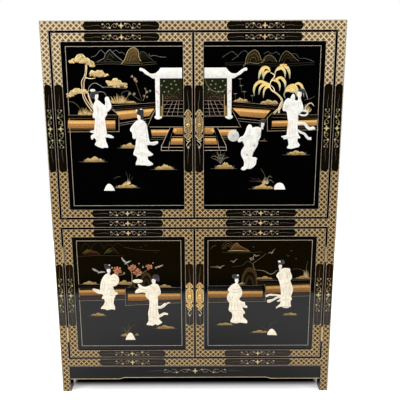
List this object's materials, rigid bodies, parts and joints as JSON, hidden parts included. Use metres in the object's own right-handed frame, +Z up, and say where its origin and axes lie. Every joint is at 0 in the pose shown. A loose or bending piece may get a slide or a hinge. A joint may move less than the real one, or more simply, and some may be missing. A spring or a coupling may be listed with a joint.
{
  "type": "lacquered four-door cabinet",
  "caption": "Free-standing lacquered cabinet on short legs, with upper and lower pairs of hinged inlaid doors over shelved compartments.",
  "frame": {"origin": "on the floor, under the middle of the outline of the whole cabinet with its knobs", "axes": "+Z up, -Y out of the front with the doors, +X to the right of someone who faces the front"},
  "size_m": [0.914, 0.4716, 1.219],
  "materials": {
    "black_lacquer": "gloss black lacquer over wood, with painted gold lines and scenes",
    "lattice_lacquer": "gloss lacquer painted with a gold lattice on dark brown, with black cartouches",
    "inside_wood": "satin dark stained wood",
    "brass": "satin engraved brass, lightly aged",
    "steel": "satin",
    "catch_plastic": "matte brown"
  },
  "bodies": {
    "carcass": {"back_panel": "inside_wood", "board_cleats": "inside_wood", "bottom_board": "inside_wood", "bottom_rail": "lattice_lacquer", "front_apron": "black_lacquer", "front_left_post": "lattice_lacquer", "front_right_post": "lattice_lacquer", "hinge_pins": "brass", "left_side_panel": "black_lacquer", "lower_shelf": "inside_wood", "magnetic_catches": "catch_plastic", "middle_board": "inside_wood", "middle_rail": "lattice_lacquer", "post_hinge_leaves": "brass", "rear_left_post": "lattice_lacquer", "rear_rails": "lattice_lacquer", "rear_right_post": "lattice_lacquer", "right_side_panel": "black_lacquer", "shelf_cleats": "inside_wood", "side_aprons": "black_lacquer", "side_rails": "lattice_lacquer", "top_panel": "black_lacquer", "top_rail": "lattice_lacquer", "upper_door_pivots": "brass", "upper_shelf": "inside_wood"},
    "upper_left_door": {"upper_left_door_hinge_stile": "lattice_lacquer", "upper_left_door_knob": "brass", "upper_left_door_lock_stile": "lattice_lacquer", "upper_left_door_panel": "black_lacquer", "upper_left_door_pull_plate": "brass", "upper_left_door_rails": "lattice_lacquer", "upper_left_door_strike": "steel"},
    "upper_right_door": {"upper_right_door_hinge_stile": "lattice_lacquer", "upper_right_door_knob": "brass", "upper_right_door_lock_stile": "lattice_lacquer", "upper_right_door_panel": "black_lacquer", "upper_right_door_pull_plate": "brass", "upper_right_door_rails": "lattice_lacquer", "upper_right_door_strike": "steel"},
    "lower_left_door": {"lower_left_door_hinge_leaves": "brass", "lower_left_door_hinge_stile": "lattice_lacquer", "lower_left_door_knob": "brass", "lower_left_door_lock_stile": "lattice_lacquer", "lower_left_door_panel": "black_lacquer", "lower_left_door_pull_plate": "brass", "lower_left_door_rails": "lattice_lacquer", "lower_left_door_strike": "steel"},
    "lower_right_door": {"lower_right_door_hinge_leaves": "brass", "lower_right_door_hinge_stile": "lattice_lacquer", "lower_right_door_knob": "brass", "lower_right_door_lock_stile": "lattice_lacquer", "lower_right_door_panel": "black_lacquer", "lower_right_door_pull_plate": "brass", "lower_right_door_rails": "lattice_lacquer", "lower_right_door_strike": "steel"}
  },
  "joints": [
    {"name": "upper_left_door_hinge", "type": "hinge", "parent": "carcass", "child": "upper_left_door", "pos_m": [-0.416, -0.2112, 0.9015], "axis": [0, 0, -1], "range_deg": [0, 100]},
    {"name": "upper_right_door_hinge", "type": "hinge", "parent": "carcass", "child": "upper_right_door", "pos_m": [0.416, -0.2112, 0.9015], "axis": [0, 0, 1], "range_deg": [0, 100]},
    {"name": "lower_left_door_hinge", "type": "hinge", "parent": "carcass", "child": "lower_left_door", "pos_m": [-0.4275, -0.2232, 0.354], "axis": [0, 0, -1], "range_deg": [0, 170]},
    {"name": "lower_right_door_hinge", "type": "hinge", "parent": "carcass", "child": "lower_right_door", "pos_m": [0.4275, -0.2232, 0.354], "axis": [0, 0, 1], "range_deg": [0, 170]}
  ]
}
